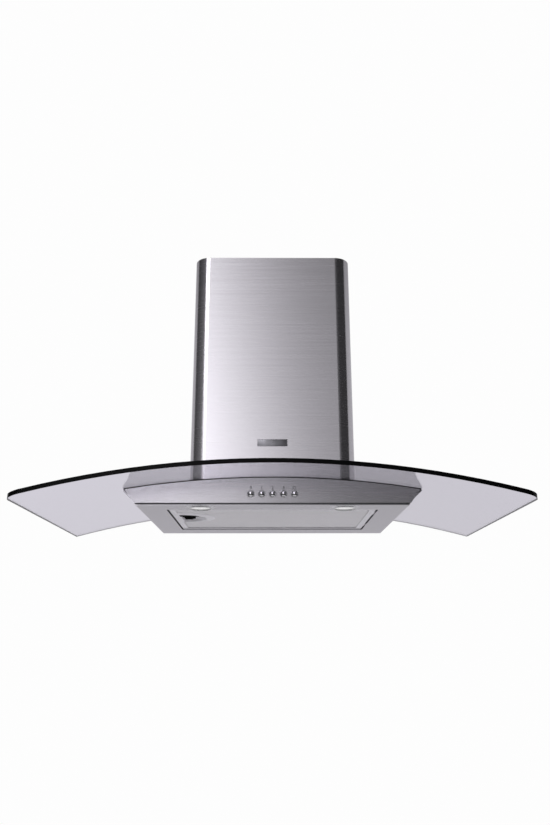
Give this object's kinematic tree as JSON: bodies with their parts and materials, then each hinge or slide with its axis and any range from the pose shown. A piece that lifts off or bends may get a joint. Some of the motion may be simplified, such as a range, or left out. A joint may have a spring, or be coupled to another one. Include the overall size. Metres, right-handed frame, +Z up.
{
  "type": "wall chimney range hood",
  "caption": "Wall-mounted chimney range hood with an arched glass canopy, push buttons, grease filter, lamps, blower and a telescopic chimney.",
  "frame": {"origin": "centre of the four wall bolts, in the plane of the wall behind the hood", "axes": "+X to the right of a person facing the hood, +Y into the wall, +Z up"},
  "size_m": [0.9, 0.5, 0.562],
  "materials": {
    "glass": "clear tempered glass, polished dark edge",
    "brushed_steel": "stainless steel, fine straight grain",
    "zinc_steel": "galvanised sheet, matt",
    "chrome": "mirror chrome",
    "mesh_aluminium": "expanded aluminium mesh",
    "frame_aluminium": "brushed aluminium",
    "seal_rubber": "matt black rubber",
    "black_plastic": "fine-textured black plastic",
    "grey_plastic": "satin grey plastic",
    "white_plastic": "semi-gloss white plastic",
    "blower_plastic": "dark grey moulded plastic",
    "cast_motor": "laminated steel motor body",
    "steel": "zinc-plated steel",
    "lens_glass": "frosted lamp glass",
    "bulb_glass": "clear quartz capsule",
    "badge": "dark grey plate without lettering"
  },
  "bodies": {
    "hood": {"glass_canopy": "glass", "glass_seal": "seal_rubber", "front_fascia": "brushed_steel", "side_wall_left": "brushed_steel", "side_wall_right": "brushed_steel", "underside_panel": "brushed_steel", "top_deck": "zinc_steel", "rear_plate": "zinc_steel", "badge_plate": "badge", "motor_box": "zinc_steel", "scroll_left": "blower_plastic", "scroll_right": "blower_plastic", "inlet_ring_left": "black_plastic", "inlet_ring_right": "black_plastic", "motor_body": "cast_motor", "motor_bearings": "steel", "motor_bracket": "steel", "motor_bushes": "seal_rubber", "capacitor": "white_plastic", "outlet_collar": "black_plastic", "damper_pin": "steel", "chimney_lower_cover": "brushed_steel", "chimney_bracket": "zinc_steel", "chimney_screws": "steel", "lamp_bezel_left": "chrome", "lamp_bezel_right": "chrome", "lamp_lens_left": "lens_glass", "lamp_lens_right": "lens_glass", "lamp_housing_left": "zinc_steel", "lamp_housing_right": "zinc_steel", "lamp_bulb_left": "bulb_glass", "lamp_bulb_right": "bulb_glass", "button_bezels": "chrome", "button_springs": "steel", "switch_body": "black_plastic", "control_box": "grey_plastic", "control_box_cover": "grey_plastic", "transformer": "black_plastic", "cable_gland": "black_plastic", "wiring_loom": "black_plastic", "glass_standoffs": "steel", "glass_washers": "seal_rubber", "glass_screws": "steel", "box_screws": "steel"},
    "impeller": {"impeller": "white_plastic", "motor_shaft": "steel"},
    "damper_left": {"damper_flap_left": "grey_plastic"},
    "damper_right": {"damper_flap_right": "grey_plastic"},
    "upper_cover": {"chimney_upper_cover": "brushed_steel"},
    "filter": {"filter_frame": "frame_aluminium", "filter_mesh": "mesh_aluminium", "filter_handle": "frame_aluminium", "latch_spring": "steel"},
    "latch": {"filter_latch": "black_plastic"},
    "button_1": {"button_1": "chrome"},
    "button_2": {"button_2": "chrome"},
    "button_3": {"button_3": "chrome"},
    "button_4": {"button_4": "chrome"},
    "button_5": {"button_5": "chrome"}
  },
  "joints": [
    {"name": "button_1_press", "type": "slide", "parent": "hood", "child": "button_1", "axis": [0, 1, 0], "range_m": [0, 0.003], "stiffness_N_per_m": 400, "springref_m": -0.002, "deforming": ["button_springs"]},
    {"name": "button_2_press", "type": "slide", "parent": "hood", "child": "button_2", "axis": [0, 1, 0], "range_m": [0, 0.003], "stiffness_N_per_m": 400, "springref_m": -0.002, "deforming": ["button_springs"]},
    {"name": "button_3_press", "type": "slide", "parent": "hood", "child": "button_3", "axis": [0, 1, 0], "range_m": [0, 0.003], "stiffness_N_per_m": 400, "springref_m": -0.002, "deforming": ["button_springs"]},
    {"name": "button_4_press", "type": "slide", "parent": "hood", "child": "button_4", "axis": [0, 1, 0], "range_m": [0, 0.003], "stiffness_N_per_m": 400, "springref_m": -0.002, "deforming": ["button_springs"]},
    {"name": "button_5_press", "type": "slide", "parent": "hood", "child": "button_5", "axis": [0, 1, 0], "range_m": [0, 0.003], "stiffness_N_per_m": 400, "springref_m": -0.002, "deforming": ["button_springs"]},
    {"name": "impeller_spin", "type": "hinge", "parent": "hood", "child": "impeller", "pos_m": [0, -0.14, -0.035], "axis": [1, 0, 0], "continuous": true},
    {"name": "damper_left_open", "type": "hinge", "parent": "hood", "child": "damper_left", "pos_m": [0, -0.14, 0.12], "axis": [0, 1, 0], "range_deg": [0, 75]},
    {"name": "damper_right_open", "type": "hinge", "parent": "hood", "child": "damper_right", "pos_m": [0, -0.14, 0.12], "axis": [0, -1, 0], "range_deg": [0, 75]},
    {"name": "upper_cover_slide", "type": "slide", "parent": "hood", "child": "upper_cover", "axis": [0, 0, 1], "range_m": [0, 0.3]},
    {"name": "filter_swing", "type": "hinge", "parent": "hood", "child": "filter", "pos_m": [0.199, -0.1945, -0.1975], "axis": [0, -1, 0], "range_deg": [0, 45]},
    {"name": "filter_latch_slide", "type": "slide", "parent": "filter", "child": "latch", "axis": [1, 0, 0], "range_m": [0, 0.006], "stiffness_N_per_m": 300, "springref_m": -0.003, "deforming": ["latch_spring"]}
  ]
}
